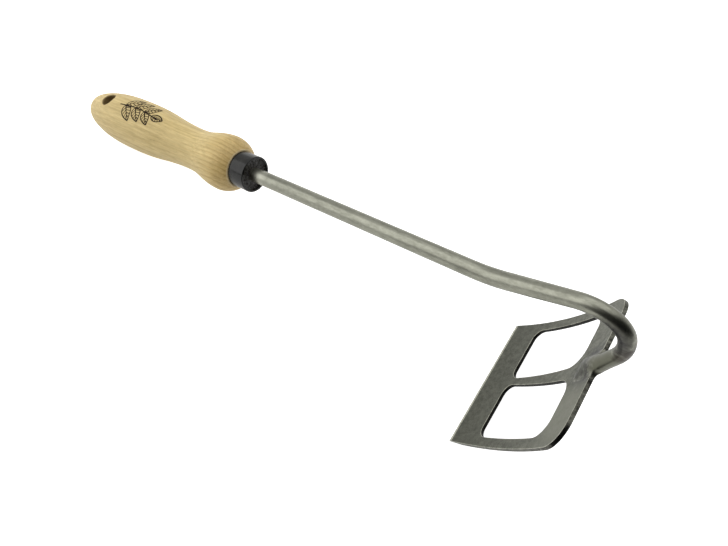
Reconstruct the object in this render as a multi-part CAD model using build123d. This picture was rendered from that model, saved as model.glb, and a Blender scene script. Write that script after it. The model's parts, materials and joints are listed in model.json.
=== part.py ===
from build123d import *
import math
import os

# Hand stirrup hoe: an ash handle, a steel ferrule, a swan-neck rod and a draw blade with windows.
#
# Everything is drawn in the tool's own frame first: X runs along the handle from the butt towards
# the blade, X = 0 is the front end of the ferrule, Z points away from the blade, and Y is sideways.
# The finished tool is then tilted so that it stands on its cutting edge and on the underside of
# the butt, with the origin on the ground below the middle of its box. Sizes are in mm.

# Handle, turned from one piece of ash: points of its outline as (place on the axis, radius)
BUTT_X = -148.8
BUTT_OUTLINE = [(-147.4, 4.7), (-144.0, 8.2), (-136.0, 11.75), (-120.0, 14.9)]
BELLY = (-98.0, 15.8)
BELLY_TO_WAIST = [(-80.0, 15.05), (-64.0, 13.2)]
WAIST = (-50.0, 12.35)
WAIST_TO_BULB = [(-39.0, 12.95), (-31.0, 14.8)]
BULB = (-21.5, 16.0)
SHOULDER = (-10.6, 10.8)

# Hanging hole, drilled through the butt across the axis
HOLE_X = -122.8
HOLE_R = 4.5

# Ferrule sleeve, let into the wood's shoulder, round the tenon
FERRULE_R = 10.15
FERRULE_WALL = 1.15
FERRULE_LET_IN = 3.0
FERRULE_RIM_ROUND = 0.35
TENON_R = FERRULE_R - FERRULE_WALL
TENON_FRONT_X = -3.0

# Inside the handle: the bore, and the resin round the tang with its recessed front face
BORE_R = 4.6
BORE_DEPTH = 66.0
RESIN_FACE_X = -1.4

# Tang: a round stretch in the ferrule, then four tapered flats to a blunt tip
TANG_ROUND_END = -16.0
TANG_TIP_X = -62.0
TANG_TIP_WIDTH = 3.6

# Neck rod: a straight run, a slight upward bend, then the swan neck down to the blade
ROD_R = 4.0
LOOP_R = 3.55
FIRST_RUN = 132.5
FIRST_BEND_R = 67.0
FIRST_BEND = 15.7
SECOND_RUN = 29.0
SWAN_R = 17.6
SWAN_BEND = 93.8
LOWER_R = 30.5
LOWER_BEND = 31.0
LAP_RUN = 28.5

# Blade: a plate bent to one large arc, seen from the side
EDGE = (139.0, -124.7)
EDGE_ANGLE = 47.7
PLATE_R = 270.0
PLATE_LENGTH = 107.0
PLATE_T = 2.2
EDGE_T = 0.3
BEVEL_LENGTH = 11.0
PLATE_SWEEP = PLATE_LENGTH / PLATE_R

# Blade outline and its two windows, as lengths from the cutting edge and half widths
HALF_WIDTH_EDGE = 44.1
HALF_WIDTH_TOP = 41.8
TOP_CORNER_R = 13.0
WINDOW_FRONT = 24.6
WINDOW_REAR = 88.3
BAR_HALF_FRONT = 2.2
BAR_HALF_REAR = 3.95
WINDOW_OUT_FRONT = 37.6
WINDOW_OUT_REAR = 36.05
WINDOW_FRONT_CORNER_R = 6.4
WINDOW_REAR_CORNER_R = 10.4

# Scarf: the rod's lapped end slopes down to a thin tip on the plate
SCARF_TIP = 95.0
SCARF_TIP_T = 0.2
SCARF_BACK = 107.0
SCARF_DEPTH = 7.5

# Weld round the lap: half sizes of a low mound, longest along the plate
WELD_ALONG = 14.0
WELD_ACROSS = 7.6
WELD_HEIGHT = 4.3
WELD_AT = 101.0

# How far the cutting tools reach past what they cut
CLEARANCE = 2.0
CUTTER_REACH = 30.0

# The outline is measured at this many points when the tool is laid on the ground
OUTLINE_SAMPLES = 2000


def plate_point(length, out=0.0):
    """Point (x, z) of the plate at a length from the cutting edge, out from its inner face."""
    start = math.radians(EDGE_ANGLE)
    angle = start + length / PLATE_R
    x = EDGE[0] + PLATE_R * (math.sin(angle) - math.sin(start)) + out * math.sin(angle)
    z = EDGE[1] - PLATE_R * (math.cos(angle) - math.cos(start)) - out * math.cos(angle)
    return (x, z)


def plate_arc(first, last, out=0.0):
    """Arc along the plate between two lengths, out from its inner face."""
    middle = (first + last) / 2
    return ThreePointArc(plate_point(first, out), plate_point(middle, out), plate_point(last, out))


def chord_distance(length):
    """Distance along the plate's chord of the point at a length along its inner face."""
    half = PLATE_SWEEP / 2
    return PLATE_R * (math.sin(half) + math.sin(length / PLATE_R - half))


def side_face(*lines):
    """Face in the side view from lines drawn as (x, z)."""
    edges = [line.edges() for line in lines]
    return Plane.XZ * make_face(edges)


def axis_cylinder(x_from, x_to, radius):
    """Cylinder on the handle's axis between two stations."""
    middle = (x_from + x_to) / 2
    return Pos(middle, 0, 0) * Rot(0, 90, 0) * Cylinder(radius, abs(x_to - x_from))


def grip_outline():
    """The turned outline from the butt to the bulb: square to the axis, then level."""
    points = [(BUTT_X, 0), *BUTT_OUTLINE, BELLY, *BELLY_TO_WAIST, WAIST, *WAIST_TO_BULB, BULB]
    return Spline(points, tangents=[(0, 1), (1, 0)], tangent_scalars=[1, 1])


def make_handle():
    """Ash handle with its tenon, tang bore and hanging hole."""
    rebate_x = SHOULDER[0] - FERRULE_LET_IN
    steps = Polyline(
        SHOULDER,
        (SHOULDER[0], FERRULE_R),
        (rebate_x, FERRULE_R),
        (rebate_x, TENON_R),
        (TENON_FRONT_X, TENON_R),
        (TENON_FRONT_X, 0),
        (BUTT_X, 0),
    )
    nose = TangentArc(BULB, SHOULDER, tangent=(1, 0))
    wood = revolve(side_face(grip_outline(), nose, steps), axis=Axis.X)
    bore = axis_cylinder(-BORE_DEPTH, 0, BORE_R)
    hole = Pos(HOLE_X, 0, 0) * Cylinder(HOLE_R, 2 * CUTTER_REACH)
    return wood - bore - hole


def make_ferrule():
    """Steel sleeve round the tenon, with soft edges at its front rim."""
    rear_x = SHOULDER[0] - FERRULE_LET_IN
    sleeve = axis_cylinder(rear_x, 0, FERRULE_R)
    sleeve -= axis_cylinder(rear_x - CLEARANCE, CLEARANCE, TENON_R)
    return fillet(sleeve.edges().group_by(Axis.X)[-1], FERRULE_RIM_ROUND)


def make_tang():
    """The rod's end inside the handle: round, then four tapered flats."""
    width = ROD_R * math.sqrt(2)
    root = Plane(origin=(TANG_ROUND_END, 0, 0), x_dir=(0, 1, 0), z_dir=(-1, 0, 0))
    tip = root.offset(TANG_ROUND_END - TANG_TIP_X)
    flats = loft([root * Rectangle(width, width), tip * Rectangle(TANG_TIP_WIDTH, TANG_TIP_WIDTH)])
    return flats + axis_cylinder(TANG_ROUND_END, 0, ROD_R)


def make_resin():
    """Black resin that fills the bore round the tang and closes the ferrule's mouth."""
    fill = axis_cylinder(-BORE_DEPTH, TENON_FRONT_X, BORE_R)
    cap = axis_cylinder(TENON_FRONT_X, RESIN_FACE_X, TENON_R)
    return fill + cap - make_tang()


def in_space(point):
    """A side-view point (x, z) as a point on the tool's middle plane."""
    return (point[0], 0, point[1])


def arc_of(start, angle, radius, turn):
    """Arc from a point and heading that turns by degrees: the edge, its end and its new heading."""
    side = math.copysign(radius, turn)
    heading = math.radians(angle)
    sweep_angle = math.radians(turn)
    centre = (start[0] - side * math.sin(heading), start[1] + side * math.cos(heading))

    def on_arc(part):
        a = heading + part * sweep_angle
        return (centre[0] + side * math.sin(a), centre[1] - side * math.cos(a))

    arc = ThreePointArc(in_space(start), in_space(on_arc(0.5)), in_space(on_arc(1)))
    return arc, on_arc(1), angle + turn


def run_of(start, angle, length):
    """Straight run from a point and heading: the edge and its end."""
    a = math.radians(angle)
    end = (start[0] + length * math.cos(a), start[1] + length * math.sin(a))
    return Line(in_space(start), in_space(end)), end


def rod_section(point, angle, radius):
    """Round section of the rod, square to its centre line."""
    a = math.radians(angle)
    plane = Plane(origin=in_space(point), x_dir=(0, 1, 0), z_dir=(math.cos(a), 0, math.sin(a)))
    return plane * Circle(radius)


def lap_cutter():
    """Everything on the outer side of the blade's inner face, below the plate's top edge."""
    back = Polyline(
        plate_point(PLATE_LENGTH),
        plate_point(PLATE_LENGTH, CUTTER_REACH),
        plate_point(0, CUTTER_REACH),
        plate_point(0),
    )
    return extrude(side_face(plate_arc(0, PLATE_LENGTH), back), amount=CUTTER_REACH, both=True)


def scarf_cutter():
    """Wedge that slopes the rod's lapped end down on to the plate's inner face."""
    outline = Polyline(
        plate_point(SCARF_TIP, -SCARF_TIP_T),
        plate_point(SCARF_BACK, -SCARF_DEPTH),
        plate_point(SCARF_BACK, -CUTTER_REACH),
        plate_point(SCARF_TIP - CUTTER_REACH, -CUTTER_REACH),
        plate_point(SCARF_TIP - CUTTER_REACH, CUTTER_REACH),
        plate_point(SCARF_TIP, CUTTER_REACH),
        close=True,
    )
    return extrude(side_face(outline), amount=CUTTER_REACH, both=True)


def make_neck():
    """The rod from the tang to the lap joint: one forged bar."""
    first, at = run_of((0, 0), 0, FIRST_RUN)
    bend, at, angle = arc_of(at, 0, FIRST_BEND_R, FIRST_BEND)
    shank = sweep(rod_section((0, 0), 0, ROD_R), path=Wire([first, bend]))

    taper_start = rod_section(at, angle, ROD_R)
    at = run_of(at, angle, SECOND_RUN)[1]
    taper_end = rod_section(at, angle, LOOP_R)
    taper = loft([taper_start, taper_end])

    swan, at, angle = arc_of(at, angle, SWAN_R, -SWAN_BEND)
    lower, at, angle = arc_of(at, angle, LOWER_R, -LOWER_BEND)
    lap = run_of(at, angle, LAP_RUN)[0]
    loop = sweep(taper_end, path=Wire([swan, lower, lap]))

    rod = make_tang() + shank + taper + loop
    return rod - lap_cutter() - scarf_cutter()


def blade_profile():
    """Side view of the plate: inner arc, top edge, outer arc and the sharpening bevel."""
    inner = plate_arc(0, PLATE_LENGTH)
    rear = Line(plate_point(PLATE_LENGTH), plate_point(PLATE_LENGTH, PLATE_T))
    outer = plate_arc(PLATE_LENGTH, BEVEL_LENGTH, PLATE_T)
    bevel = Polyline(plate_point(BEVEL_LENGTH, PLATE_T), plate_point(0, EDGE_T), plate_point(0))
    return side_face(inner, rear, outer, bevel)


def half_width(distance):
    """Half width of the plate at a distance along its chord."""
    slope = (HALF_WIDTH_TOP - HALF_WIDTH_EDGE) / chord_distance(PLATE_LENGTH)
    return HALF_WIDTH_EDGE + slope * distance


def rounded(face, corners, radius):
    """Face with the given corners rounded."""
    for corner in corners:
        face = fillet(face.vertices().sort_by_distance(Vector(*corner))[0], radius)
    return face


def blade_outline():
    """The plate seen square to its chord: a trapezium with rounded top corners."""
    low = -CLEARANCE
    high = chord_distance(PLATE_LENGTH) + PLATE_T * math.sin(PLATE_SWEEP / 2)
    top_corners = [(high, half_width(high)), (high, -half_width(high))]
    points = [*top_corners, (low, -half_width(low)), (low, half_width(low))]
    face = make_face(Polyline(*points, close=True).edges())
    return rounded(face, top_corners, TOP_CORNER_R)


def window_outline(side):
    """One of the blade's two windows, beside the middle bar."""
    front = chord_distance(WINDOW_FRONT)
    rear = chord_distance(WINDOW_REAR)
    front_corners = [(front, side * BAR_HALF_FRONT), (front, side * WINDOW_OUT_FRONT)]
    rear_corners = [(rear, side * WINDOW_OUT_REAR), (rear, side * BAR_HALF_REAR)]
    face = make_face(Polyline(*front_corners, *rear_corners, close=True).edges())
    face = rounded(face, front_corners, WINDOW_FRONT_CORNER_R)
    return rounded(face, rear_corners, WINDOW_REAR_CORNER_R)


def make_blade():
    """Bent plate with its outline and two windows cut square to the chord."""
    chord = math.radians(EDGE_ANGLE) + PLATE_SWEEP / 2
    along = (math.cos(chord), 0, math.sin(chord))
    outward = (math.sin(chord), 0, -math.cos(chord))
    flat = Plane(origin=in_space(EDGE), x_dir=along, z_dir=outward)
    blade = extrude(blade_profile(), amount=HALF_WIDTH_EDGE + CLEARANCE, both=True)
    blade &= extrude(flat * blade_outline(), amount=CUTTER_REACH, both=True)
    for side in (1, -1):
        blade -= extrude(flat * window_outline(side), amount=CUTTER_REACH, both=True)
    return blade


def make_weld(neck, blade):
    """Weld metal round the lap, wrapped over the plate's top edge and ground smooth."""
    angle = EDGE_ANGLE + math.degrees(WELD_AT / PLATE_R)
    mound = scale(Sphere(1), by=(WELD_ALONG, WELD_ACROSS, WELD_HEIGHT))
    mound = Pos(in_space(plate_point(WELD_AT))) * Rot(0, -angle, 0) * mound
    return mound - blade - neck


def butt_points():
    """Points along the rear half of the handle's outline, as (x, radius)."""
    outline = grip_outline()
    return [outline @ (i / OUTLINE_SAMPLES) for i in range(OUTLINE_SAMPLES // 2)]


def rest_tilt():
    """Angle that lays the tool on its cutting edge and on the underside of the butt, in degrees."""
    foot = plate_point(0, EDGE_T)
    slopes = [(-foot[1] - p.Y) / (foot[0] - p.X) for p in butt_points()]
    return math.degrees(math.atan(min(slopes)))


def ground_place(neck):
    """Location that tilts the tool and puts the origin on the ground below its middle."""
    tilt = rest_tilt()
    a = math.radians(tilt)
    turn = Rot(0, -tilt, 0)
    foot = plate_point(0, EDGE_T)
    foot_z = foot[0] * math.sin(a) + foot[1] * math.cos(a)
    rear_x = min(p.X * math.cos(a) - p.Y * math.sin(a) for p in butt_points())
    front_x = (turn * neck).bounding_box().max.X
    return Pos(-(front_x + rear_x) / 2, 0, -foot_z) * turn


def main():
    neck = make_neck()
    blade = make_blade()
    parts = {
        "handle": make_handle(),
        "ferrule": make_ferrule(),
        "tang_resin": make_resin(),
        "neck": neck,
        "blade": blade,
        "weld": make_weld(neck, blade),
    }
    place = ground_place(neck)
    print("tilt", round(rest_tilt(), 3), "tool origin at", place.position)
    os.makedirs("parts", exist_ok=True)
    for name, shape in parts.items():
        export_step(place * shape, f"parts/{name}.step")


main()
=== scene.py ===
import json
import math

import bmesh
import bpy
import numpy as np
from mathutils import Matrix, Vector, noise


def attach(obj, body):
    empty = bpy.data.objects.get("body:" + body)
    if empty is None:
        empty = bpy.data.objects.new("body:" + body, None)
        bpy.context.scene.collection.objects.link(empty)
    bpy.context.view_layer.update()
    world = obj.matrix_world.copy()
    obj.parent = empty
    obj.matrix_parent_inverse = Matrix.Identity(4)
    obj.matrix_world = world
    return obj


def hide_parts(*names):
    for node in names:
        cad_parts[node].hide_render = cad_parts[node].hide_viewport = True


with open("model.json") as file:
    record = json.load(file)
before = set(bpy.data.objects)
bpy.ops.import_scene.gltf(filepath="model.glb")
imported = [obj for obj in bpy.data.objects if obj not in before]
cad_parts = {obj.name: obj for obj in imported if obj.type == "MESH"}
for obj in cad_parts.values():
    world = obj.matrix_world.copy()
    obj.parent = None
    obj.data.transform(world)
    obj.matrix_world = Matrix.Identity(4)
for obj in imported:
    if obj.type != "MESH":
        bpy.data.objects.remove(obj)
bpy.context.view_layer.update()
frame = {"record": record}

# Lengths are in metres, in the tool's own frame: X runs along the handle towards the blade and
# is 0 at the ferrule's front end, Z points away from the blade, and Y is sideways.
MM = 0.001

# Handle: points of its turned outline as (place on the axis, radius)
BUTT = (-148.8 * MM, 0.0)
BUTT_OUTLINE = [
    (-147.4 * MM, 4.7 * MM), (-144 * MM, 8.2 * MM), (-136 * MM, 11.75 * MM), (-120 * MM, 14.9 * MM),
]
BELLY_AND_WAIST = [
    (-98 * MM, 15.8 * MM), (-80 * MM, 15.05 * MM), (-64 * MM, 13.2 * MM), (-50 * MM, 12.35 * MM),
]
BULB_REAR = [(-39 * MM, 12.95 * MM), (-31 * MM, 14.8 * MM)]
BULB = (-21.5 * MM, 16 * MM)
SHOULDER = (-10.6 * MM, 10.8 * MM)
TENON_R = 9 * MM
TENON_FRONT = -3 * MM
TANG_BORE_R = 4.6 * MM
TANG_BORE_END = -66 * MM
HANDLE_AROUND = 192

# Ash: the place (x, y, z) of the pith that its growth rings run round, and the width of a ring
PITH = (0, 62 * MM, 36 * MM)
RING_WIDTH = 2.4 * MM

# Hanging hole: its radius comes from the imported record
HOLE_X = -122.8 * MM
HOLE_MOUTH_ROUND = 0.7 * MM
HOLE_PATCH = 9 * MM

# Mark burnt into the grip
MARK_CENTRE = Vector((-91, 0)) * MM
MARK_LIFT = 0.03 * MM

# Ferrule and the resin in its mouth
FERRULE_R = 10.15 * MM
FERRULE_REAR = -13.6 * MM
RESIN_FACE = -1.5 * MM

# Neck rod
ROD_R = 4 * MM
LOOP_R = 3.55 * MM
DENT_DEPTH = 0.035 * MM
TANG_TIP = -62 * MM
TANG_TIP_R = 1.8 * MM
FIRST_RUN = 132.5 * MM
FIRST_BEND = (67 * MM, math.radians(15.7))
SECOND_RUN = 29 * MM
SWAN_BEND = (17.6 * MM, math.radians(-93.8))
LOWER_BEND = (30.5 * MM, math.radians(-31))
LAP_RUN = 26 * MM
LAP_STATIONS = 27
SCARF_TIP = 95 * MM
SCARF_SLOPE = 0.6

# Blade: one large arc in the side view, starting at the cutting edge
EDGE = (139 * MM, -124.7 * MM)
EDGE_ANGLE = math.radians(47.7)
PLATE_R = 270 * MM
PLATE_LENGTH = 107 * MM
PLATE_T = 2.2 * MM
EDGE_T = 0.35 * MM
BEVEL_LENGTH = 11 * MM
HALF_WIDTH_EDGE = 44.1 * MM
HALF_WIDTH_TOP = 41.8 * MM
TOP_CORNER_R = 13 * MM
WINDOW_FRONT = 24.6 * MM
WINDOW_REAR = 88.3 * MM
BAR_HALF_FRONT = 2.2 * MM
BAR_HALF_REAR = 3.95 * MM
WINDOW_OUT_FRONT = 37.6 * MM
WINDOW_OUT_REAR = 36.05 * MM
WINDOW_FRONT_CORNER_R = 6.4 * MM
WINDOW_REAR_CORNER_R = 10.4 * MM
PLATE_EDGE_ROUND = 0.26 * MM
HONED_LENGTH = 2.2 * MM
HONED_DEPTH = 0.27 * MM

# Stains and painted light: a point of the tool, the distances from it where the colour starts to fade and
# ends, and its colour. The olive and brown heat colours are on the loop, the olive one on the weld too; the
# brown is partly a painted dark reflection. The pale one is painted light on the rod beside the ferrule.
OLIVE = ((199 * MM, 0, -23 * MM), 9 * MM, 14 * MM, (0.146, 0.148, 0.110))
BROWN_HEAT_AND_REFLECTION = ((205.5 * MM, 0, -9.5 * MM), 5 * MM, 11 * MM, (0.052, 0.043, 0.030))
PAINTED_LIGHT_AT_FERRULE = ((0, 0, 0), 4 * MM, 11 * MM, (0.56, 0.56, 0.475))

# Black on the flanks of the loop: partly forging scale, partly a painted dark reflection
SCALE_AND_REFLECTION_CENTRE = (192 * MM, 0, -1 * MM)
SCALE_AND_REFLECTION_COLOUR = (0.020, 0.018, 0.020)

# Stretch of X over which painted light makes the blade's faces lighter towards their rear
PAINTED_LIGHT_FROM = 147 * MM
PAINTED_LIGHT_TO = 188 * MM

# Camera of the photograph's view, in the tool's frame
CAMERA_PLACE = Vector((198.46, -111.42, 198.59)) * MM
CAMERA_LOOK = Vector((-0.4427, 0.3595, -0.8214))
CAMERA_RIGHT = Vector((0.8059, 0.5611, -0.1888))
CAMERA_LENS = 26.08

# Direction of the studio's dark side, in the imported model's frame, and the cosines of the angles from
# it between which the light fades. The floor reaches this far from the tool, in metres.
DARK_SIDE = (0.770, -0.539, 0.342)
FADE_START = 0.05
FADE_END = 0.74
FLOOR_HALF = 6


def tool_matrix():
    """The tool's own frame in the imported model, from the hanging hole's place and axis."""
    mount = next(m for m in frame["record"]["mounts"] if m["name"] == "hanging_hole")
    z_axis = Vector(mount["axis"]).normalized()
    y_axis = Vector((0, 1, 0))
    x_axis = y_axis.cross(z_axis)
    origin = Vector(mount["pos_m"]) - HOLE_X * x_axis
    turn = Matrix((x_axis, y_axis, z_axis)).transposed()
    return Matrix.Translation(origin) @ turn.to_4x4()


def hole_radius():
    """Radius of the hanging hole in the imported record."""
    mount = next(m for m in frame["record"]["mounts"] if m["name"] == "hanging_hole")
    return mount["dims"]["r_mm"] * MM


TOOL = tool_matrix()
HOLE_R = hole_radius()


# ---------------------------------------------------------------- mesh helpers

def new_piece(name, mesh, materials):
    """Object from a mesh drawn in the tool's frame, smooth shaded, with its materials."""
    mesh.transform(TOOL)
    piece = bpy.data.objects.new(name, mesh)
    bpy.context.scene.collection.objects.link(piece)
    for material in materials:
        mesh.materials.append(material)
    mesh.polygons.foreach_set("use_smooth", [True] * len(mesh.polygons))
    return piece


def mesh_of(name, points, faces):
    """Mesh from points and faces, with its normals turned outwards."""
    mesh = bpy.data.meshes.new(name)
    mesh.from_pydata([tuple(p) for p in points], [], faces)
    work = bmesh.new()
    work.from_mesh(mesh)
    bmesh.ops.recalc_face_normals(work, faces=work.faces)
    work.to_mesh(mesh)
    work.free()
    return mesh


def sharpen(piece, degrees):
    """Marks the edges that turn more than an angle, and weights the normals by face area."""
    piece.data.set_sharp_from_angle(angle=math.radians(degrees))
    weighted = piece.modifiers.new("weighted normals", "WEIGHTED_NORMAL")
    weighted.keep_sharp = True


def ring_faces(first, second, count):
    """Quads between two closed rings of points, given the index at which each ring starts."""
    return [
        (first + k, first + (k + 1) % count, second + (k + 1) % count, second + k)
        for k in range(count)
    ]


def lathe(outline, around):
    """Points and faces of a closed outline of (x, radius) turned about the tool's X axis."""
    points = []
    faces = []
    for x, radius in outline:
        for k in range(around):
            a = 2 * math.pi * k / around
            points.append((x, radius * math.cos(a), radius * math.sin(a)))
    for i in range(len(outline) - 1):
        faces += ring_faces(i * around, (i + 1) * around, around)
    return points, faces


def arc_points(centre, radius, start, end, steps):
    """Points on an arc in a plane, from one angle in degrees to another."""
    angles = [math.radians(start + (end - start) * i / steps) for i in range(steps + 1)]
    return [(centre[0] + radius * math.cos(a), centre[1] + radius * math.sin(a)) for a in angles]


def smooth_line(points, start, end, step):
    """Cubic spline through points, with unit directions at its two ends, sampled about every step."""
    points = np.array(points)
    spans = np.linalg.norm(np.diff(points, axis=0), axis=1)
    count = len(points)
    matrix = np.eye(count)
    slopes = np.zeros_like(points)
    slopes[0] = start
    slopes[-1] = end
    for i in range(1, count - 1):
        before, after = spans[i - 1], spans[i]
        matrix[i, i - 1:i + 2] = after, 2 * (before + after), before
        rise = after / before * (points[i] - points[i - 1])
        slopes[i] = 3 * (rise + before / after * (points[i + 1] - points[i]))
    slopes = np.linalg.solve(matrix, slopes)
    line = []
    for i, span in enumerate(spans):
        steps = max(2, round(span / step))
        for s in np.arange(steps) / steps:
            blend = 3 * s**2 - 2 * s**3
            bow = span * (s * (1 - s)**2 * slopes[i] - s**2 * (1 - s) * slopes[i + 1])
            line.append(points[i] + blend * (points[i + 1] - points[i]) + bow)
    line.append(points[-1])
    return np.array(line)


# ---------------------------------------------------------------- handle

def nose_arc():
    """Arc from the bulb, level there, to the shoulder beside the ferrule."""
    dx = SHOULDER[0] - BULB[0]
    dr = BULB[1] - SHOULDER[1]
    radius = (dx**2 + dr**2) / (2 * dr)
    end = 90 - math.degrees(math.asin(dx / radius))
    return arc_points((BULB[0], BULB[1] - radius), radius, 90, end, 24)


def grip_line():
    """The handle's visible outline, from the butt to the shoulder."""
    points = [BUTT, *BUTT_OUTLINE, *BELLY_AND_WAIST, *BULB_REAR, BULB]
    grip = smooth_line(points, (0, 1), (1, 0), 0.8 * MM)
    return np.vstack([grip, nose_arc()[1:]])


GRIP = grip_line()


def grip_radius(x):
    """Radius of the handle's outside at a place on the axis."""
    return float(np.interp(x, GRIP[:, 0], GRIP[:, 1]))


def surface_height(x, y):
    """Height of the handle's surface above its axis."""
    return math.sqrt(max(grip_radius(x)**2 - y**2, 0))


def hole_rings(rim, side):
    """Points of the rings from a rim on the handle's surface in to the hole and over its rounded mouth."""
    rings = []
    spokes = [math.atan2(y, x - HOLE_X) for x, y in rim]
    mouth_r = HOLE_R + HOLE_MOUTH_ROUND
    for share in (0.72, 0.48, 0.28, 0.12, 0.04, 0):
        ring = []
        for (x, y), a in zip(rim, spokes):
            px = share * x + (1 - share) * (HOLE_X + mouth_r * math.cos(a))
            py = share * y + (1 - share) * mouth_r * math.sin(a)
            ring.append((px, py, side * surface_height(px, py)))
        rings.append(ring)
    for degrees in (15, 30, 45, 60, 75, 90):
        turn = math.radians(degrees)
        radius = mouth_r - HOLE_MOUTH_ROUND * math.sin(turn)
        drop = HOLE_MOUTH_ROUND * (1 - math.cos(turn))
        ring = []
        for a in spokes:
            edge = (HOLE_X + mouth_r * math.cos(a), mouth_r * math.sin(a))
            z = side * (surface_height(*edge) - drop)
            ring.append((HOLE_X + radius * math.cos(a), radius * math.sin(a), z))
        rings.append(ring)
    return rings


def make_handle(wood):
    """Turned handle with a rounded hanging hole, its tenon and its tang bore."""
    inside = [
        (SHOULDER[0], FERRULE_R),
        (FERRULE_REAR, FERRULE_R),
        (FERRULE_REAR, TENON_R),
        (TENON_FRONT, TENON_R),
        (TENON_FRONT, TANG_BORE_R),
        (TANG_BORE_END, TANG_BORE_R),
    ]
    outline = [tuple(p) for p in GRIP[1:]] + inside
    points, faces = lathe(outline, HANDLE_AROUND)
    stations = GRIP[1:, 0]
    low = int(np.argmin(abs(stations - (HOLE_X - HOLE_PATCH))))
    high = int(np.argmin(abs(stations - (HOLE_X + HOLE_PATCH))))
    reach = round(HANDLE_AROUND * math.asin(HOLE_PATCH / grip_radius(HOLE_X)) / (2 * math.pi))
    quarter = HANDLE_AROUND // 4
    inner_rings = []
    removed = set()
    for side in (1, -1):
        middle = quarter if side > 0 else 3 * quarter
        columns = [middle - side * (k - reach) for k in range(2 * reach + 1)]
        rows = list(range(low, high + 1))
        loop = [(low, c) for c in columns]
        loop += [(r, columns[-1]) for r in rows[1:]]
        loop += [(high, c) for c in reversed(columns[:-1])]
        loop += [(r, columns[0]) for r in reversed(rows[1:-1])]
        indices = [r * HANDLE_AROUND + c for r, c in loop]
        rim = [(points[i][0], points[i][1]) for i in indices]
        first_column = min(columns)
        for r in rows[:-1]:
            removed.update(r * HANDLE_AROUND + first_column + k for k in range(2 * reach))
        previous = indices
        count = len(indices)
        for ring in hole_rings(rim, side):
            start = len(points)
            points += ring
            current = list(range(start, start + count))
            for k in range(count):
                after = (k + 1) % count
                faces.append((previous[k], previous[after], current[after], current[k]))
            previous = current
        inner_rings.append(previous)
    faces = [f for i, f in enumerate(faces) if i not in removed]
    top, bottom = inner_rings
    count = len(top)
    for k in range(count):
        after = (k + 1) % count
        faces.append((top[k], top[after], bottom[after], bottom[k]))
    pole = len(points)
    points.append((BUTT[0], 0, 0))
    faces += [(pole, k, (k + 1) % HANDLE_AROUND) for k in range(HANDLE_AROUND)]
    last = len(outline) * HANDLE_AROUND - HANDLE_AROUND
    floor = len(points)
    points.append((TANG_BORE_END, 0, 0))
    faces += [(floor, last + (k + 1) % HANDLE_AROUND, last + k) for k in range(HANDLE_AROUND)]
    piece = new_piece("ash_handle", mesh_of("ash_handle", points, faces), [wood])
    sharpen(piece, 40)
    return piece


# ---------------------------------------------------------------- leaf mark

def printed_strip(line, widths, points, faces):
    """Adds a strip of ink, with its own half width at each (x, y) point of its line."""
    start = len(points)
    for i, (place, half) in enumerate(zip(line, widths)):
        before = line[max(i - 1, 0)]
        after = line[min(i + 1, len(line) - 1)]
        across = (after - before).orthogonal().normalized() * half
        for side in (-1, 0, 1):
            x, y = place + across * side
            radius = grip_radius(x)
            lift = (radius + MARK_LIFT) / radius
            points.append((x, y * lift, surface_height(x, y) * lift))
    for i in range(len(line) - 1):
        for k in (0, 1):
            a = start + 3 * i + k
            faces.append((a, a + 1, a + 4, a + 3))


def leaf_strips(base, degrees, length):
    """Lines and half widths of one leaf: its two edges, its midrib and its side veins."""
    steps = 16
    ahead = Vector((math.cos(math.radians(degrees)), math.sin(math.radians(degrees))))
    across = ahead.orthogonal()

    def edge(share, side):
        bulge = 0.27 * length * math.sin(math.pi * share**0.8) ** 0.85
        return base + ahead * length * share + across * side * bulge

    shares = [i / steps for i in range(steps + 1)]
    strips = [([edge(t, side) for t in shares], [0.34 * MM] * (steps + 1)) for side in (-1, 1)]
    strips.append(([edge(t, 0) for t in shares], [(0.44 - 0.26 * t) * MM for t in shares]))
    for share in (0.18, 0.36, 0.54, 0.70):
        for side in (-1, 1):
            root, tip = edge(share, 0), edge(min(share + 0.16, 0.93), side * 0.86)
            strips.append(([root.lerp(tip, i / 3) for i in range(4)], [0.25 * MM] * 4))
    return strips


def make_mark(ink):
    """Plain sprig of leaves burnt into the upper side of the grip."""
    stem = [
        MARK_CENTRE + Vector((-17 + 34 * t, 1.6 * math.sin(math.pi * t) - 0.8)) * MM
        for t in (i / 20 for i in range(21))
    ]
    strips = [(stem, [0.42 * MM] * len(stem))]
    for i, share in enumerate((0.16, 0.40, 0.64)):
        base = stem[round(20 * share)]
        strips += leaf_strips(base, 44, (12 - i) * MM)
        strips += leaf_strips(base, -44, (12 - i) * MM)
    strips += leaf_strips(stem[17], 2, 9 * MM)
    points = []
    faces = []
    for line, widths in strips:
        printed_strip(line, widths, points, faces)
    return new_piece("leaf_mark", mesh_of("leaf_mark", points, faces), [ink])


# ---------------------------------------------------------------- ferrule and resin

def make_ferrule(black_steel):
    """Sleeve with rounded rims at its front end."""
    outer = 0.4 * MM
    inner = 0.25 * MM
    outline = [(FERRULE_REAR, TENON_R), (FERRULE_REAR, FERRULE_R)]
    outline += [(SHOULDER[0] - (outer + SHOULDER[0]) * i / 6, FERRULE_R) for i in range(6)]
    outline += arc_points((-outer, FERRULE_R - outer), outer, 90, 0, 6)
    outline += arc_points((-inner, TENON_R + inner), inner, 0, -90, 5)
    outline += [(-1 * MM, TENON_R), (-2.5 * MM, TENON_R), (FERRULE_REAR, TENON_R)]
    points, faces = lathe(outline, 128)
    piece = new_piece("ferrule_sleeve", mesh_of("ferrule_sleeve", points, faces), [black_steel])
    sharpen(piece, 40)
    return piece


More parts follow.
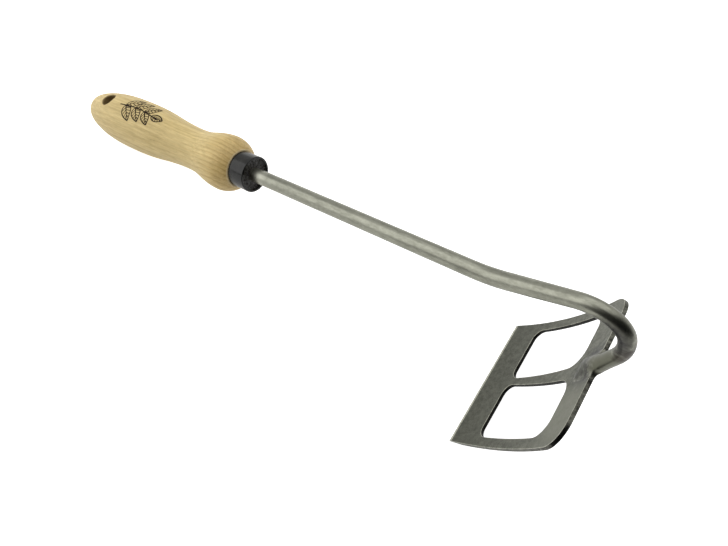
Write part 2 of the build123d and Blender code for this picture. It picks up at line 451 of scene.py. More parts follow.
def make_resin(black_resin):
    """Rough black ring in the ferrule's mouth, climbing a little on the rod and on the sleeve."""
    around = 160
    rings = 18
    points = []
    faces = []
    inner = ROD_R - 0.2 * MM
    outer = TENON_R + 0.05 * MM
    for i in range(rings + 1):
        share = i / rings
        radius = inner + (outer - inner) * share
        climb = 0.4 * MM * (1 - share)**4 + 0.45 * MM * share**6
        for k in range(around):
            a = 2 * math.pi * k / around
            y = radius * math.cos(a)
            z = radius * math.sin(a)
            lumps = noise.fractal(Vector((0.3, y, z)) * 620, 0.9, 2.1, 4)
            grit = noise.noise(Vector((0.7, y, z)) * 1700)
            points.append((RESIN_FACE + climb + 0.40 * MM * lumps + 0.18 * MM * grit, y, z))
    for i in range(rings):
        faces += ring_faces(i * around, (i + 1) * around, around)
    back = len(points)
    for radius in (outer, inner):
        for k in range(around):
            a = 2 * math.pi * k / around
            points.append((TENON_FRONT, radius * math.cos(a), radius * math.sin(a)))
    faces += ring_faces(rings * around, back, around)
    faces += ring_faces(back, back + around, around)
    faces += ring_faces(back + around, 0, around)
    return new_piece("resin_ring", mesh_of("resin_ring", points, faces), [black_resin])


# ---------------------------------------------------------------- neck rod

def rod_line():
    """Stations of the rod as (x, z, heading, radius), from the tang's tip to the lap on the blade."""
    stations = [(TANG_TIP, 0, 0, TANG_TIP_R), (-16 * MM, 0, 0, ROD_R)]
    x, z, heading, radius = 0.0, 0.0, 0.0, ROD_R

    def run(length, end_radius, step=2 * MM):
        nonlocal x, z, radius
        steps = round(length / step)
        start = (x, z, radius)
        for i in range(steps + 1):
            share = i / steps
            x = start[0] + length * share * math.cos(heading)
            z = start[1] + length * share * math.sin(heading)
            radius = start[2] + (end_radius - start[2]) * share
            stations.append((x, z, heading, radius))

    def bend(size, turn, steps):
        nonlocal x, z, heading
        side = math.copysign(size, turn)
        centre = (x - side * math.sin(heading), z + side * math.cos(heading))
        for i in range(1, steps):
            a = heading + turn * i / steps
            stations.append((centre[0] + side * math.sin(a), centre[1] - side * math.cos(a), a, radius))
        heading += turn
        x = centre[0] + side * math.sin(heading)
        z = centre[1] - side * math.cos(heading)

    run(FIRST_RUN, ROD_R)
    bend(*FIRST_BEND, 14)
    run(SECOND_RUN, LOOP_R)
    bend(*SWAN_BEND, 36)
    stations.append((x, z, heading, radius))
    bend(*LOWER_BEND, 14)
    run(LAP_RUN, LOOP_R + 0.2 * MM, LAP_RUN / (LAP_STATIONS - 1))
    return stations


def plate_place(x, z):
    """Length from the cutting edge and depth below the inner face of a point in the side view."""
    cx = EDGE[0] - PLATE_R * math.sin(EDGE_ANGLE)
    cz = EDGE[1] + PLATE_R * math.cos(EDGE_ANGLE)
    depth = np.hypot(x - cx, z - cz) - PLATE_R
    angle = np.arctan2(x - cx, cz - z)
    return (angle - EDGE_ANGLE) * PLATE_R, depth


def plate_point(length, depth):
    """Point (x, z) of the side view at a length from the cutting edge and below the inner face."""
    angle = EDGE_ANGLE + length / PLATE_R
    x = EDGE[0] + PLATE_R * (math.sin(angle) - math.sin(EDGE_ANGLE)) + depth * math.sin(angle)
    z = EDGE[1] - PLATE_R * (math.cos(angle) - math.cos(EDGE_ANGLE)) - depth * math.cos(angle)
    return x, z


def make_neck(rod_steel):
    """Forged rod: tang, shank, swan neck and the lapped end, sunk into the blade's thickness."""
    around = 72
    points = []
    faces = []
    stations = rod_line()
    for i, (x, z, heading, radius) in enumerate(stations):
        in_lap = i >= len(stations) - LAP_STATIONS
        for k in range(around):
            a = 2 * math.pi * k / around
            side = radius * math.cos(a)
            lift = radius * math.sin(a)
            point = Vector((x - lift * math.sin(heading), side, z + lift * math.cos(heading)))
            dent = noise.noise(Vector((point.x * 90, point.y * 160, point.z * 90)))
            up_x, up_z = -math.sin(heading), math.cos(heading)
            outwards = Vector((up_x * math.sin(a), math.cos(a), up_z * math.sin(a)))
            point += DENT_DEPTH * dent * outwards
            length, depth = plate_place(point.x, point.z)
            if in_lap and length < PLATE_LENGTH - 0.5 * MM:
                limit = max(SCARF_SLOPE * (length - SCARF_TIP), -0.8 * MM)
                depth = min(max(depth, -limit), PLATE_T / 2)
                point.x, point.z = plate_point(length, depth)
            points.append(point)
    count = len(points) // around
    for i in range(count - 1):
        faces += ring_faces(i * around, (i + 1) * around, around)
    faces.append(tuple(range(around)))
    faces.append(tuple(range(len(points) - 1, len(points) - around - 1, -1)))
    return new_piece("swan_neck_rod", mesh_of("swan_neck_rod", points, faces), [rod_steel])


# ---------------------------------------------------------------- blade

def rounded(corners, radii):
    """Closed outline with round corners, as points; a radius of 0 keeps the corner sharp."""
    outline = []
    count = len(corners)
    for i, radius in enumerate(radii):
        corner = Vector(corners[i])
        back = (Vector(corners[i - 1]) - corner).normalized()
        ahead = (Vector(corners[(i + 1) % count]) - corner).normalized()
        if radius == 0:
            outline.append(corner)
            continue
        half = back.angle(ahead) / 2
        centre = corner + (back + ahead).normalized() * radius / math.sin(half)
        first = corner + back * radius / math.tan(half) - centre
        last = corner + ahead * radius / math.tan(half) - centre
        steps = 14
        for s in range(steps + 1):
            outline.append(centre + first.slerp(last, s / steps).normalized() * radius)
    return outline


def half_width(length):
    """Half width of the plate at a length from the cutting edge."""
    return HALF_WIDTH_EDGE + (HALF_WIDTH_TOP - HALF_WIDTH_EDGE) * length / PLATE_LENGTH


def plate_outlines():
    """Outline of the flat blank and of its two windows, as (length, sideways) points."""
    top = PLATE_LENGTH
    blank = rounded(
        [(0, half_width(0)), (top, half_width(top)), (top, -half_width(top)), (0, -half_width(0))],
        [0, TOP_CORNER_R, TOP_CORNER_R, 0],
    )
    window = rounded(
        [
            (WINDOW_FRONT, BAR_HALF_FRONT),
            (WINDOW_REAR, BAR_HALF_REAR),
            (WINDOW_REAR, WINDOW_OUT_REAR),
            (WINDOW_FRONT, WINDOW_OUT_FRONT),
        ],
        [WINDOW_FRONT_CORNER_R, WINDOW_REAR_CORNER_R, WINDOW_REAR_CORNER_R, WINDOW_FRONT_CORNER_R],
    )
    mirrored = [Vector((p.x, -p.y)) for p in reversed(window)]
    return [blank, window, mirrored]


def flat_blank():
    """Mesh of the flat plate with soft edges, its thickness centred on Z = 0."""
    curve = bpy.data.curves.new("blank", "CURVE")
    curve.dimensions = "2D"
    curve.fill_mode = "BOTH"
    curve.extrude = PLATE_T / 2 - PLATE_EDGE_ROUND
    curve.bevel_depth = PLATE_EDGE_ROUND
    curve.bevel_resolution = 2
    curve.offset = -PLATE_EDGE_ROUND
    for outline in plate_outlines():
        spline = curve.splines.new("POLY")
        spline.points.add(len(outline) - 1)
        for target, point in zip(spline.points, outline):
            target.co = (point.x, point.y, 0, 1)
        spline.use_cyclic_u = True
    holder = bpy.data.objects.new("blank", curve)
    bpy.context.scene.collection.objects.link(holder)
    bpy.context.view_layer.update()
    depsgraph = bpy.context.evaluated_depsgraph_get()
    mesh = bpy.data.meshes.new_from_object(holder.evaluated_get(depsgraph))
    bpy.data.objects.remove(holder)
    return mesh


def blade_material(face):
    """Index of a face's steel on the flat blank: plate, window wall, outer wall or bright edge."""
    tilt = abs(face.normal.z)
    centre = face.calc_center_median()
    if tilt > 0.98:
        return 3 if centre.x < HONED_LENGTH else 0
    if tilt > 0.4:
        return 3
    over_window = WINDOW_FRONT - 1 * MM < centre.x < WINDOW_REAR + 1 * MM
    in_window = over_window and abs(centre.y) < WINDOW_OUT_FRONT + 1 * MM
    return 1 if in_window else 2


def bent(point):
    """Place on the finished blade of a point of the flat blank, with its ground edges."""
    length, side, height = point
    share = min(1, max(0, length / BEVEL_LENGTH))
    thickness = EDGE_T + (PLATE_T - EDGE_T) * share
    honed = HONED_DEPTH * max(0, 1 - length / HONED_LENGTH)
    x, z = plate_point(length, honed + (height / PLATE_T + 0.5) * (thickness - honed))
    return x, side, z


def make_blade(face_steel, window_steel, rim_steel, burr_steel):
    """Plate bent to its arc, with a ground bevel at the cutting edge and cut walls."""
    mesh = flat_blank()
    work = bmesh.new()
    work.from_mesh(mesh)
    bmesh.ops.remove_doubles(work, verts=work.verts, dist=0.005 * MM)
    stations = [HONED_LENGTH * i / 4 for i in range(1, 5)]
    stations += [HONED_LENGTH + (BEVEL_LENGTH - HONED_LENGTH) * i / 5 for i in range(1, 6)]
    stations += [BEVEL_LENGTH + (PLATE_LENGTH - BEVEL_LENGTH) * i / 60 for i in range(1, 60)]
    for length in stations:
        geometry = list(work.verts) + list(work.edges) + list(work.faces)
        bmesh.ops.bisect_plane(work, geom=geometry, plane_co=(length, 0, 0), plane_no=(1, 0, 0))
    bmesh.ops.recalc_face_normals(work, faces=work.faces)
    for face in work.faces:
        face.material_index = blade_material(face)
    for vertex in work.verts:
        vertex.co = bent(vertex.co)
    bmesh.ops.recalc_face_normals(work, faces=work.faces)
    work.to_mesh(mesh)
    work.free()
    piece = new_piece("draw_blade", mesh, [face_steel, window_steel, rim_steel, burr_steel])
    sharpen(piece, 50)
    return piece


# ---------------------------------------------------------------- weld

def smooth_least(first, second, blend):
    """The lesser of two distances, blended where they are about equal, which makes a fillet."""
    share = np.clip(0.5 + 0.5 * (second - first) / blend, 0, 1)
    return second * (1 - share) + first * share - blend * share * (1 - share)


def rod_distance(x, y, z):
    """Distance from the surface of the rod's lower bend and lap."""
    stations = rod_line()
    end = stations[-1]
    start = next(s for s in stations if abs(s[2] - end[2]) < 1e-9)
    ux, uz = math.cos(end[2]), math.sin(end[2])
    along = (x - start[0]) * ux + (z - start[1]) * uz
    across = np.hypot(uz * (x - start[0]) - ux * (z - start[1]), y)
    straight = np.where(along > 0, across, 1.0)
    size = LOWER_BEND[0]
    cx = start[0] + size * math.sin(end[2])
    cz = start[1] - size * math.cos(end[2])
    ring = np.hypot(np.hypot(x - cx, z - cz) - size, y)
    curved = np.where(along <= 0, ring, 1.0)
    tube = np.minimum(straight, curved) - LOOP_R - 0.1 * MM
    length, depth = plate_place(x, z)
    lapped = np.maximum(depth - PLATE_T / 2, length - PLATE_LENGTH - 1)
    below_top = length < PLATE_LENGTH
    scarf = -depth - SCARF_SLOPE * (length - SCARF_TIP)
    return np.where(below_top, np.maximum(np.maximum(tube, scarf * 0.86), lapped), tube)


def plate_distance(x, z):
    """Distance from the surface of the plate near the middle of its top edge."""
    length, depth = plate_place(x, z)
    over = length - PLATE_LENGTH
    out = abs(depth - PLATE_T / 2) - PLATE_T / 2
    outside = np.hypot(np.maximum(over, 0), np.maximum(out, 0))
    return outside + np.minimum(np.maximum(over, out), 0)


def surface_net(field, origin, step):
    """Points and quads of the surface where a sampled field is 0, one point in each crossed cell."""
    inside = field < 0
    corners = [(i, j, k) for i in (0, 1) for j in (0, 1) for k in (0, 1)]
    shape = tuple(n - 1 for n in field.shape)

    def block(values, corner):
        i, j, k = corner
        return values[i:i + shape[0], j:j + shape[1], k:k + shape[2]]

    total = sum(block(inside, c).astype(int) for c in corners)
    crossed = (total > 0) & (total < 8)
    places = np.zeros(shape + (3,))
    weights = np.zeros(shape)
    for a in corners:
        for axis in range(3):
            if a[axis]:
                continue
            b = tuple(1 if n == axis else a[n] for n in range(3))
            va, vb = block(field, a), block(field, b)
            cut = (va < 0) != (vb < 0)
            share = np.where(cut, va / np.where(cut, va - vb, 1), 0)
            place = np.array(a, float) + share[..., None] * (np.array(b, float) - np.array(a, float))
            places += np.where(cut[..., None], place, 0)
            weights += cut
    cells = np.argwhere(crossed)
    index = -np.ones(shape, int)
    index[crossed] = np.arange(len(cells))
    points = origin + step * (cells + places[crossed] / weights[crossed][:, None])
    faces = []
    for axis in range(3):
        u, v = [n for n in range(3) if n != axis]
        ahead = tuple(slice(1, None) if n == axis else slice(None) for n in range(3))
        behind = tuple(slice(None, -1) if n == axis else slice(None) for n in range(3))
        for cell in np.argwhere(inside[ahead] != inside[behind]):
            if cell[u] == 0 or cell[v] == 0 or cell[u] >= shape[u] or cell[v] >= shape[v]:
                continue
            quad = []
            for du, dv in ((0, 0), (-1, 0), (-1, -1), (0, -1)):
                touching = cell.copy()
                touching[u] += du
                touching[v] += dv
                quad.append(int(index[tuple(touching)]))
            faces.append(quad)
    return points, faces


def make_weld(weld_steel):
    """Blended joint of the rod and the plate, ground smooth: it sinks into both where it ends."""
    centre = plate_point(PLATE_LENGTH - 1 * MM, 0)
    step = 0.4 * MM
    reach = 17 * MM
    line = np.arange(-reach, reach + step, step)
    x, y, z = np.meshgrid(centre[0] + line, line, centre[1] + line, indexing="ij")
    away = np.sqrt((x - centre[0])**2 + y**2 + (z - centre[1])**2)
    fillet = np.interp(plate_place(x, z)[1], (0, PLATE_T), (5 * MM, 3 * MM))
    joined = smooth_least(rod_distance(x, y, z), plate_distance(x, z), fillet)
    proud = 0.22 * MM * np.exp(-(away / (9 * MM))**4) - 0.1 * MM
    field = np.maximum(joined - proud, away - reach + 2 * step)
    origin = np.array((x[0, 0, 0], y[0, 0, 0], z[0, 0, 0]))
    points, faces = surface_net(field, origin, step)
    return new_piece("neck_weld", mesh_of("neck_weld", points, faces), [weld_steel])


# ---------------------------------------------------------------- materials

def add(tree, kind, inputs=None, **settings):
    """New shader node with its settings; inputs hold plain values or other nodes' outputs."""
    made = tree.nodes.new(kind)
    for name, value in settings.items():
        setattr(made, name, value)
    for name, value in (inputs or {}).items():
        if isinstance(value, bpy.types.NodeSocket):
            tree.links.new(value, made.inputs[name])
        else:
            made.inputs[name].default_value = value
    return made


def new_material(name, **sockets):
    """Material with a Principled shader, whose uniform values are given by socket name."""
    material = bpy.data.materials.new(name)
    material.use_nodes = True
    shader = material.node_tree.nodes["Principled BSDF"]
    for socket, value in sockets.items():
        shader.inputs[socket.replace("_", " ")].default_value = value
    return material, material.node_tree, shader


def tool_place(tree):
    """Coordinates in the tool's frame, in metres."""
    place = add(tree, "ShaderNodeTexCoord").outputs["Object"]
    inputs = {"Vector": place, "Location": TOOL.translation, "Rotation": TOOL.to_euler()}
    return add(tree, "ShaderNodeMapping", inputs, vector_type="TEXTURE").outputs["Vector"]


def stretched_place(tree, stretch):
    """Coordinates in the tool's frame, scaled along each axis."""
    return add(tree, "ShaderNodeMapping", {"Vector": tool_place(tree), "Scale": stretch}).outputs["Vector"]


def noise_value(tree, stretch, detail=4.0, rough=0.55, distortion=0.0):
    """Noise with its own number of features per metre along each axis."""
    vector = stretched_place(tree, stretch)
    inputs = {"Vector": vector, "Scale": 1.0, "Detail": detail, "Roughness": rough, "Distortion": distortion}
    return add(tree, "ShaderNodeTexNoise", inputs).outputs["Fac"]


def ramp(tree, value, *stops):
    """Colour ramp through (position, colour) stops."""
    made = add(tree, "ShaderNodeValToRGB", {"Fac": value})
    elements = made.color_ramp.elements
    while len(elements) < len(stops):
        elements.new(0.5)
    for element, (position, colour) in zip(elements, stops):
        element.position = position
        element.color = (*colour, 1)
    return made.outputs["Color"]


def scaled(tree, value, low, high, start=0.0, end=1.0):
    """Value mapped from start..end on to low..high, held at the ends."""
    inputs = {"Value": value, "From Min": start, "From Max": end, "To Min": low, "To Max": high}
    return add(tree, "ShaderNodeMapRange", inputs).outputs["Result"]


def maths(tree, operation, first, second=0.5):
    """One Math node."""
    return add(tree, "ShaderNodeMath", {0: first, 1: second}, operation=operation).outputs[0]


def mixed(tree, factor, first, second, blend="MIX"):
    """One colour Mix node."""
    made = add(tree, "ShaderNodeMix", data_type="RGBA", blend_type=blend)
    for index, value in ((0, factor), (6, first), (7, second)):
        if isinstance(value, bpy.types.NodeSocket):
            tree.links.new(value, made.inputs[index])
        else:
            made.inputs[index].default_value = value if index == 0 else (*value, 1)
    return made.outputs[2]


def bump(tree, shader, height, distance, strength):
    """Bump of a height in metres on the shader's normal."""
    inputs = {"Height": height, "Distance": distance, "Strength": strength}
    made = add(tree, "ShaderNodeBump", inputs)
    tree.links.new(made.outputs["Normal"], shader.inputs["Normal"])


def ash_wood():
    """Oiled ash: growth rings round a pith beside the handle, fine fibres and open pores."""
    material, tree, shader = new_material("ash_wood", IOR=1.45)
    place = tool_place(tree)
    split = add(tree, "ShaderNodeSeparateXYZ", {0: place})
    along, sideways = split.outputs["X"], split.outputs["Y"]
    from_pith = add(tree, "ShaderNodeVectorMath", {0: place, 1: PITH}, operation="SUBTRACT").outputs[0]
    flat = add(tree, "ShaderNodeVectorMath", {0: from_pith, 1: (0, 1, 1)}, operation="MULTIPLY").outputs[0]
    radius = add(tree, "ShaderNodeVectorMath", {0: flat}, operation="LENGTH").outputs["Value"]
    for stretch, wander in (((9, 34, 34), 3.4 * MM), ((3, 150, 150), 1.3 * MM), ((30, 420, 420), 0.4 * MM)):
        radius = maths(tree, "ADD", radius, scaled(tree, noise_value(tree, stretch, 2.0), -wander, wander))
    rings = maths(tree, "FRACT", maths(tree, "MULTIPLY", radius, 1 / RING_WIDTH))
    fibres = noise_value(tree, (22, 1300, 1300), 6.0, 0.65)
    streaks = noise_value(tree, (10, 300, 300), 4.0, 0.6)
    cloud = noise_value(tree, (14, 70, 70), 3.0)
    ring_colour = ramp(
        tree, rings,
        (0.0, (0.540, 0.395, 0.150)), (0.10, (0.600, 0.450, 0.185)), (0.34, (0.685, 0.545, 0.250)),
        (0.78, (0.715, 0.575, 0.272)), (1.0, (0.645, 0.50, 0.212)),
    )
    on_grip = scaled(tree, along, 1.0, 0.15, -40 * MM, -18 * MM)
    calm = maths(tree, "MULTIPLY", scaled(tree, cloud, 0.35, 0.85, 0.35, 0.65), on_grip)
    base = mixed(tree, calm, ring_colour, (0.695, 0.555, 0.260))
    # Darker and warmer over the bulb towards the ferrule.
    darker_towards_ferrule = scaled(tree, along, 0.0, 0.6, -30 * MM, -12 * MM)
    base = mixed(tree, darker_towards_ferrule, base, (0.94, 0.83, 0.69), "MULTIPLY")
    flecks = noise_value(tree, (170, 800, 800), 3.0, 0.6)
    for value, shade in (
        (fibres, (0.88, 0.855, 0.80)), (streaks, (0.87, 0.84, 0.775)), (flecks, (0.93, 0.915, 0.88)),
    ):
        tint = mixed(tree, scaled(tree, value, 0.0, 1.0, 0.3, 0.7), shade, (1.09, 1.09, 1.10))
        base = mixed(tree, 1.0, base, tint, "MULTIPLY")
    pores = noise_value(tree, (120, 2600, 2600), 2.0, 0.5)
    in_early = scaled(tree, rings, 1.0, 0.25, 0.1, 0.5)
    pore_mask = maths(tree, "MULTIPLY", scaled(tree, pores, 0.0, 1.0, 0.60, 0.70), in_early)
    base = mixed(tree, maths(tree, "MULTIPLY", pore_mask, 0.5), base, (0.27, 0.17, 0.06))
    fresh_cut = scaled(tree, along, 0.0, 0.4, SHOULDER[0] - 0.5 * MM, SHOULDER[0] - 0.1 * MM)
    base = mixed(tree, fresh_cut, base, (0.86, 0.74, 0.50))
    from_hole = maths(tree, "SUBTRACT", along, HOLE_X)
    square = maths(tree, "ADD", maths(tree, "POWER", from_hole, 2), maths(tree, "POWER", sideways, 2))
    in_hole = scaled(tree, maths(tree, "SQRT", square), 0.72, 0.0, HOLE_R + 0.15 * MM, HOLE_R + 0.75 * MM)
    base = mixed(tree, in_hole, base, (0.13, 0.075, 0.032))
    tree.links.new(base, shader.inputs["Base Color"])
    tree.links.new(scaled(tree, fibres, 0.42, 0.56), shader.inputs["Roughness"])
    height = maths(tree, "SUBTRACT", scaled(tree, fibres, 0, 0.6), pore_mask)
    bump(tree, shader, height, 0.05 * MM, 0.5)
    return material


def burnt_mark():
    """Dark brown of a mark burnt into wood, broken by the grain."""
    material, tree, shader = new_material("burnt_mark", Roughness=0.7, Specular_IOR_Level=0.15)
    fibres = noise_value(tree, (120, 1500, 1500), 4.0)
    base = ramp(tree, fibres, (0.35, (0.014, 0.008, 0.003)), (0.72, (0.050, 0.030, 0.012)))
    tree.links.new(base, shader.inputs["Base Color"])
    return material


def black_steel():
    """Black oxide finish with a soft shine and faint handling marks."""
    material, tree, shader = new_material("black_steel", IOR=1.42)
    cloud = noise_value(tree, (160, 160, 160), 5.0)
    base = ramp(tree, cloud, (0.35, (0.006, 0.006, 0.0055)), (0.68, (0.020, 0.020, 0.018)))
    tree.links.new(base, shader.inputs["Base Color"])
    tree.links.new(scaled(tree, cloud, 0.09, 0.24, 0.35, 0.65), shader.inputs["Roughness"])
    bump(tree, shader, noise_value(tree, (500, 500, 500), 4.0), 0.06 * MM, 0.35)
    return material


def rough_resin():
    """Black resin with a broken, half glossy surface."""
    material, tree, shader = new_material("rough_resin", IOR=1.5)
    grit = noise_value(tree, (1400, 1400, 1400), 5.0)
    base = ramp(tree, grit, (0.35, (0.007, 0.006, 0.005)), (0.75, (0.034, 0.028, 0.021)))
    tree.links.new(base, shader.inputs["Base Color"])
    tree.links.new(scaled(tree, grit, 0.12, 0.6, 0.3, 0.7), shader.inputs["Roughness"])
    bump(tree, shader, grit, 0.25 * MM, 0.8)
    return material


def near(tree, centre, inner, outer, uneven):
    """1 within the inner distance of a point of the tool, falling unevenly to 0 at the outer one."""
    inputs = {0: tool_place(tree), 1: centre}
    gap = add(tree, "ShaderNodeVectorMath", inputs, operation="DISTANCE").outputs["Value"]
    return scaled(tree, maths(tree, "ADD", gap, uneven), 1.0, 0.0, inner, outer)


def plate_stain_and_light_patch(length, depth, sideways, inner, outer, colour):
    """Stain, painted light or painted shade round a point of the blade, at a length from its edge, below its
    inner face and sideways.
    """
    x, z = plate_point(length, depth)
    return (x, sideways, z), inner, outer, colour


def on_both_sides(length, depth, sideways, inner, outer, colour):
    """The same patch of painted light or shade on both sides of the blade."""
    return [plate_stain_and_light_patch(length, depth, side * sideways, inner, outer, colour) for side in (-1, 1)]


def painted_shade_behind_weld():
    """Painted shade, near black, behind the plate, on both sides of the weld."""
    colour = (0.028, 0.027, 0.024)
    return on_both_sides(PLATE_LENGTH - 1 * MM, PLATE_T + 1.5 * MM, 7 * MM, 3 * MM, 9 * MM, colour)


def steel(name, dark, light, roughness, stretch=(150, 330, 330), stains_and_painted_light=(), rear=1.0):
    """Bare steel with soft blotches, fine grain, stained patches, painted light and shade, rear times as
    light at the blade's rear by painted light.
    """
    material, tree, shader = new_material(name, Metallic=1.0)
    blotches = noise_value(tree, stretch, 6.0, 0.66)
    grain = noise_value(tree, (520, 1000, 1000), 4.0, 0.6)
    mix = maths(tree, "ADD", maths(tree, "MULTIPLY", blotches, 0.62), maths(tree, "MULTIPLY", grain, 0.38))
    base = ramp(tree, mix, (0.38, dark), (0.62, light))
    # Painted light: the colour gets lighter towards the blade's rear.
    if rear != 1.0:
        along = add(tree, "ShaderNodeSeparateXYZ", {0: tool_place(tree)}).outputs["X"]
        lift = scaled(tree, along, 1.0, rear, PAINTED_LIGHT_FROM, PAINTED_LIGHT_TO)
        base = add(tree, "ShaderNodeVectorMath", {0: base, "Scale": lift}, operation="SCALE").outputs[0]
    uneven = scaled(tree, blotches, -3 * MM, 3 * MM, 0.3, 0.7)
    for centre, inner, outer, colour in stains_and_painted_light:
        base = mixed(tree, near(tree, centre, inner, outer, uneven), base, colour)
    tree.links.new(base, shader.inputs["Base Color"])
    low, high = roughness
    tree.links.new(scaled(tree, mix, high, low, 0.35, 0.65), shader.inputs["Roughness"])
    bump(tree, shader, mix, 0.05 * MM, 0.35)
    return material


def neck_steel():
    """Drawn rod: heat colours, forging scale and painted dark reflection on the loop, painted light by the
    ferrule.
    """
    material = steel("rod_steel", (0.232, 0.233, 0.192), (0.352, 0.354, 0.293), (0.27, 0.36),
                     stretch=(110, 420, 420), stains_and_painted_light=[PAINTED_LIGHT_AT_FERRULE, OLIVE, BROWN_HEAT_AND_REFLECTION])
    tree = material.node_tree
    shader = tree.nodes["Principled BSDF"]
    base = shader.inputs["Base Color"].links[0].from_socket
    uneven = scaled(tree, noise_value(tree, (300, 300, 300), 5.0), -1 * MM, 1 * MM, 0.3, 0.7)
    loop = near(tree, SCALE_AND_REFLECTION_CENTRE, 8 * MM, 15 * MM, uneven)
    sideways = add(tree, "ShaderNodeSeparateXYZ", {0: tool_place(tree)}).outputs["Y"]
    off_centre = maths(tree, "ADD", maths(tree, "ABSOLUTE", sideways), uneven)
    # Black on the loop's flanks: partly forging scale, partly a painted dark reflection.
    scale_and_reflection = maths(tree, "MULTIPLY", loop, scaled(tree, off_centre, 0.0, 0.96, 1.3 * MM, 2.8 * MM))
    tree.links.new(mixed(tree, scale_and_reflection, base, SCALE_AND_REFLECTION_COLOUR), shader.inputs["Base Color"])
    return material


def blade_steels():
    """Steels of the blade's faces, window walls, outer walls and bright edges, in that order."""
    # Painted shade round the weld on the blade's face.
    lap = plate_stain_and_light_patch(PLATE_LENGTH - 6 * MM, 0, 0, 7 * MM, 15 * MM, (0.068, 0.070, 0.063))
    # Painted light on the near rail of the blade's face.
    painted_rail_light = plate_stain_and_light_patch(PLATE_LENGTH - 8 * MM, 0, -26 * MM, 9 * MM, 20 * MM, (0.200, 0.204, 0.163))
    # Black on the cut rim by the near top corner: partly scale, partly a painted dark reflection.
    black = plate_stain_and_light_patch(PLATE_LENGTH - 3 * MM, PLATE_T / 2, 4 * MM - HALF_WIDTH_TOP, 5 * MM, 10 * MM,
                        (0.014, 0.014, 0.012))
    return (
        # The blade's faces get lighter towards their rear by painted light.
        steel("blade_steel", (0.067, 0.069, 0.054), (0.115, 0.118, 0.093), (0.34, 0.48),
              stains_and_painted_light=[lap, painted_rail_light], rear=1.5),
        steel("window_cut_steel", (0.015, 0.015, 0.0135), (0.044, 0.044, 0.039), (0.45, 0.6)),
        steel("rim_cut_steel", (0.050, 0.050, 0.042), (0.20, 0.20, 0.168), (0.36, 0.55),
              stretch=(300, 420, 300), stains_and_painted_light=painted_shade_behind_weld() + [black]),
        steel("burr_steel", (0.30, 0.30, 0.25), (0.56, 0.56, 0.48), (0.3, 0.45)),
    )


def joint_steel():
    """Ground weld: dark on its back, with painted shade in the hollows beside the neck and painted
    highlights on its ridges.
    """
    ground = plate_stain_and_light_patch(PLATE_LENGTH - 9 * MM, PLATE_T, 0, 6 * MM, 11 * MM, (0.085, 0.087, 0.071))
    # Painted shade in the hollows beside the neck.
    painted_hollow_shade = on_both_sides(PLATE_LENGTH - 4 * MM, -1 * MM, 4.5 * MM, 1 * MM, 4 * MM, (0.050, 0.050, 0.042))
    # Painted highlights on the weld's ridges beside the neck.
    painted_ridge_highlights = on_both_sides(PLATE_LENGTH, 0, 6.5 * MM, 0.3 * MM, 2.6 * MM, (0.27, 0.27, 0.23))
    return steel("weld_steel", (0.15, 0.151, 0.127), (0.27, 0.27, 0.230), (0.30, 0.42),
                 stains_and_painted_light=[ground, *painted_shade_behind_weld(), *painted_hollow_shade, *painted_ridge_highlights, OLIVE])


# ---------------------------------------------------------------- stage

def make_floor():
    """Plain pale floor that glows a little, and more to the camera, so that it is white in the picture."""
    mesh = bpy.data.meshes.new("floor")
    corners = [(FLOOR_HALF * x, FLOOR_HALF * y, 0) for x, y in ((-1, -1), (1, -1), (1, 1), (-1, 1))]
    mesh.from_pydata(corners, [], [(0, 1, 2, 3)])
    floor = bpy.data.objects.new("floor", mesh)
    bpy.context.scene.collection.objects.link(floor)
    material, tree, shader = new_material("floor", Roughness=0.9, Emission_Color=(1, 1, 1, 1))
    seen = add(tree, "ShaderNodeLightPath").outputs["Is Camera Ray"]
    tree.links.new(scaled(tree, seen, 0.3, 0.85), shader.inputs["Emission Strength"])
    paper = noise_value(tree, (3, 3, 3), 3.0)
    base = ramp(tree, paper, (0.3, (0.88, 0.88, 0.875)), (0.7, (0.90, 0.90, 0.895)))
    tree.links.new(base, shader.inputs["Base Color"])
    mesh.materials.append(material)


def make_light(name, direction, distance, size, energy):
    """Square soft light that shines on the tool from a direction."""
    data = bpy.data.lights.new(name, "AREA")
    data.shape = "SQUARE"
    data.size = size
    data.energy = energy
    lamp = bpy.data.objects.new(name, data)
    bpy.context.scene.collection.objects.link(lamp)
    back = Vector(direction).normalized()
    lamp.location = back * distance
    lamp.rotation_mode = "QUATERNION"
    lamp.rotation_quaternion = back.to_track_quat("Z", "Y")


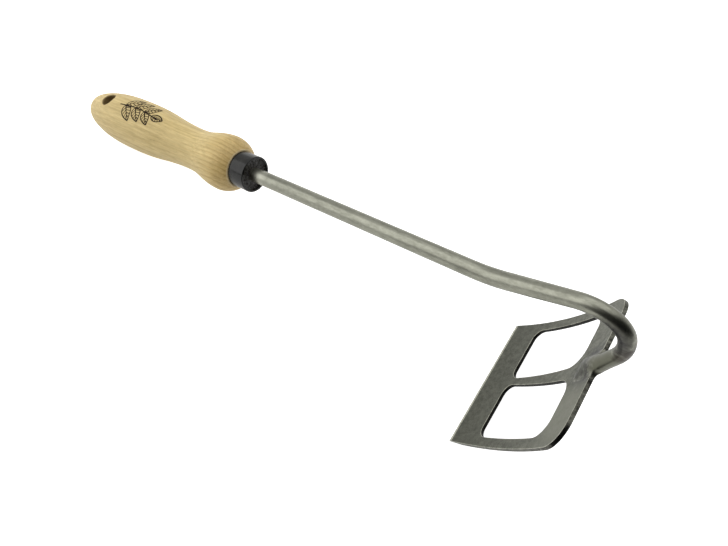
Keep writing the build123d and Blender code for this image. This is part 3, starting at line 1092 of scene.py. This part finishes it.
def make_world(bright, dark):
    """Light of a white studio that falls off to a dark room on one side. The camera sees plain white."""
    world = bpy.data.worlds.new("studio")
    world.use_nodes = True
    tree = world.node_tree
    direction = add(tree, "ShaderNodeTexCoord").outputs["Generated"]
    toward = add(tree, "ShaderNodeVectorMath", {0: direction, 1: DARK_SIDE}, operation="DOT_PRODUCT")
    fade = {"From Min": FADE_START, "From Max": FADE_END, "To Min": bright, "To Max": dark}
    strength = add(tree, "ShaderNodeMapRange", {"Value": toward.outputs["Value"], **fade},
                   interpolation_type="SMOOTHSTEP")
    studio = tree.nodes["Background"]
    studio.inputs["Color"].default_value = (1, 1, 0.985, 1)
    tree.links.new(strength.outputs["Result"], studio.inputs["Strength"])
    backdrop = add(tree, "ShaderNodeBackground", {"Color": (1, 1, 1, 1)})
    seen = add(tree, "ShaderNodeLightPath").outputs["Is Camera Ray"]
    shown = add(tree, "ShaderNodeMixShader", {0: seen, 1: studio.outputs[0], 2: backdrop.outputs[0]})
    tree.links.new(shown.outputs[0], tree.nodes["World Output"].inputs["Surface"])
    bpy.context.scene.world = world


def make_camera():
    """Camera at the photograph's place and angle."""
    data = bpy.data.cameras.new("camera")
    data.sensor_width = 36
    data.lens = CAMERA_LENS
    data.clip_start = 0.01
    data.clip_end = 50
    camera = bpy.data.objects.new("camera", data)
    bpy.context.scene.collection.objects.link(camera)
    up = CAMERA_RIGHT.cross(CAMERA_LOOK)
    turn = Matrix((CAMERA_RIGHT, up, -CAMERA_LOOK)).transposed().to_4x4()
    camera.matrix_world = TOOL @ Matrix.Translation(CAMERA_PLACE) @ turn
    bpy.context.scene.camera = camera


def main():
    pieces = [
        (make_handle(ash_wood()), "handle", "ash_wood"),
        (make_ferrule(black_steel()), "ferrule", "ferrule_steel"),
        (make_resin(rough_resin()), "tang_resin", "black_resin"),
        (make_neck(neck_steel()), "neck", "rod_steel"),
        (make_blade(*blade_steels()), "blade", "blade_steel"),
        (make_weld(joint_steel()), "weld", "weld_steel"),
    ]
    for piece, node, slot in pieces:
        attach(piece, "root")
        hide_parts(node)

    mark = make_mark(burnt_mark())
    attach(mark, "root")

    make_floor()
    make_light("key", (-0.74, -0.40, 0.64), distance=1.6, size=1.9, energy=10.5)
    make_light("top", (-0.1, 0.4, 1.0), distance=1.5, size=1.9, energy=7)
    make_world(bright=0.66, dark=0.01)
    make_camera()
    bpy.context.scene.view_settings.view_transform = "Standard"


main()
